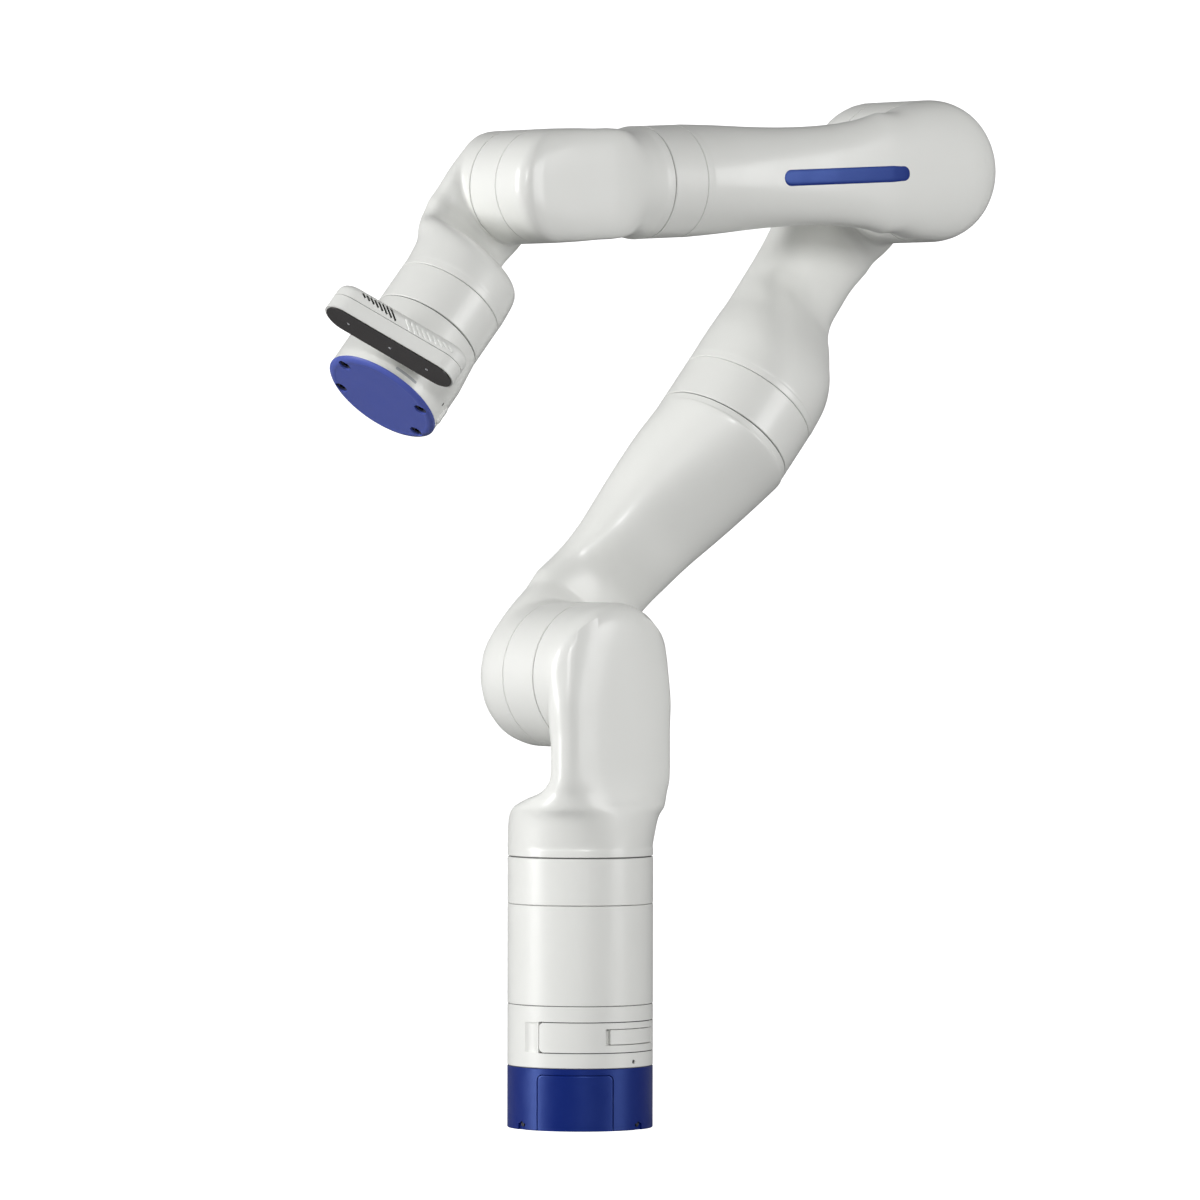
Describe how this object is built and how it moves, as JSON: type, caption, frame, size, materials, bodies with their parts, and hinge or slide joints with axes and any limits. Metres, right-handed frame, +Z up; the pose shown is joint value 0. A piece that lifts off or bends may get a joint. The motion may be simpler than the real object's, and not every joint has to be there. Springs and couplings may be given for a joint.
{
  "type": "collaborative robot arm",
  "caption": "Slim seven-axis collaborative robot arm with round joint bands, blue base cover and tool-end cap, and a vision module at the wrist.",
  "frame": {"origin": "centre of the base's mounting face, where joint 1's axis meets it", "axes": "+Z up along joint 1, -Y towards the front of the base, +X to its right; the arm is stored in a raised working pose"},
  "size_m": [0.4253, 0.3993, 0.6535],
  "materials": {
    "arm_shell": "satin gloss warm white paint",
    "blue_cover": "semi-gloss moulded deep blue",
    "dark_plastic": "fine moulded texture",
    "button": "satin grey",
    "module_case": "satin white moulding",
    "dark_glass": "polished near-black infrared-clear window",
    "lens": "polished",
    "steel": "machined",
    "aluminium": "machined",
    "drive": "motor and gearing block",
    "board": "solder resist"
  },
  "bodies": {
    "base": {"mounting_plate": "aluminium", "base_cover": "blue_cover", "cover_screws": "steel", "front_panel": "blue_cover", "connector_panel": "dark_plastic", "power_inlet": "dark_plastic", "network_socket": "dark_plastic", "clamp_band": "arm_shell", "lever_pin": "steel", "set_screw": "steel", "base_shell": "arm_shell", "controller_board": "board", "joint_1_band": "arm_shell", "joint_1_drive_unit": "drive", "joint_1_bearing": "steel"},
    "shoulder": {"shoulder_shell": "arm_shell", "joint_1_output_flange": "aluminium", "joint_2_output_flange": "aluminium"},
    "lower_arm": {"lower_arm_shell": "arm_shell", "joint_2_band": "arm_shell", "joint_2_drive_unit": "drive", "joint_2_bearing": "steel", "joint_3_output_flange": "aluminium"},
    "upper_arm": {"upper_arm_shell": "arm_shell", "joint_3_band": "arm_shell", "joint_3_drive_unit": "drive", "joint_3_bearing": "steel", "joint_4_band": "arm_shell", "joint_4_drive_unit": "drive", "joint_4_bearing": "steel"},
    "forearm": {"forearm_shell": "arm_shell", "joint_4_output_flange": "aluminium", "joint_5_band": "arm_shell", "joint_5_drive_unit": "drive", "joint_5_bearing": "steel"},
    "wrist_1": {"wrist_1_shell": "arm_shell", "joint_5_output_flange": "aluminium", "joint_6_band": "arm_shell", "joint_6_drive_unit": "drive", "joint_6_bearing": "steel"},
    "wrist_2": {"wrist_2_shell": "arm_shell", "joint_6_output_flange": "aluminium", "joint_7_band": "arm_shell", "joint_7_drive_unit": "drive", "joint_7_bearing": "steel"},
    "bracelet": {"bracelet_shell": "arm_shell", "tool_flange": "aluminium", "end_cap": "blue_cover", "cap_screws": "steel", "vision_housing": "module_case", "vision_bezel": "module_case", "vision_window": "dark_glass", "camera_lenses": "lens", "vision_board": "board", "joint_7_output_flange": "aluminium"},
    "clamp_lever": {"clamp_lever": "arm_shell"},
    "power_button": {"power_button": "button"}
  },
  "joints": [
    {"name": "joint_1", "type": "hinge", "parent": "base", "child": "shoulder", "pos_m": [0, 0, 0.15643], "axis": [0, 0, -1], "continuous": true},
    {"name": "joint_2", "type": "hinge", "parent": "shoulder", "child": "lower_arm", "pos_m": [-0.00334, 0.00421, 0.28481], "axis": [0.6212, -0.7837, 0], "range_deg": [-89, 120]},
    {"name": "joint_3", "type": "hinge", "parent": "lower_arm", "child": "upper_arm", "pos_m": [0.09846, 0.09303, 0.44621], "axis": [-0.5027, -0.3984, -0.7672], "continuous": true},
    {"name": "joint_4", "type": "hinge", "parent": "upper_arm", "child": "forearm", "pos_m": [0.20818, 0.17186, 0.6076], "axis": [-0.6212, 0.7837, 0], "range_deg": [-14.9, 265]},
    {"name": "joint_5", "type": "hinge", "parent": "forearm", "child": "wrist_1", "pos_m": [0.04902, 0.03757, 0.59669], "axis": [0.7826, 0.6203, 0.0523], "continuous": true},
    {"name": "joint_6", "type": "hinge", "parent": "wrist_1", "child": "wrist_2", "pos_m": [-0.034, -0.028, 0.59115], "axis": [0.6212, -0.7837, 0], "range_deg": [-166.6, 73.95]},
    {"name": "joint_7", "type": "hinge", "parent": "wrist_2", "child": "bracelet", "pos_m": [-0.08824, -0.07077, 0.51084], "axis": [0.5111, 0.4051, 0.7581], "continuous": true},
    {"name": "clamp_lever_hinge", "type": "hinge", "parent": "base", "child": "clamp_lever", "pos_m": [0.04332, 0.00494, 0.0585], "axis": [0, 0, 1], "range_deg": [0, 75]},
    {"name": "power_button_press", "type": "slide", "parent": "base", "child": "power_button", "axis": [0, -1, 0], "range_m": [0, 0.0012], "stiffness_N_per_m": 500}
  ]
}
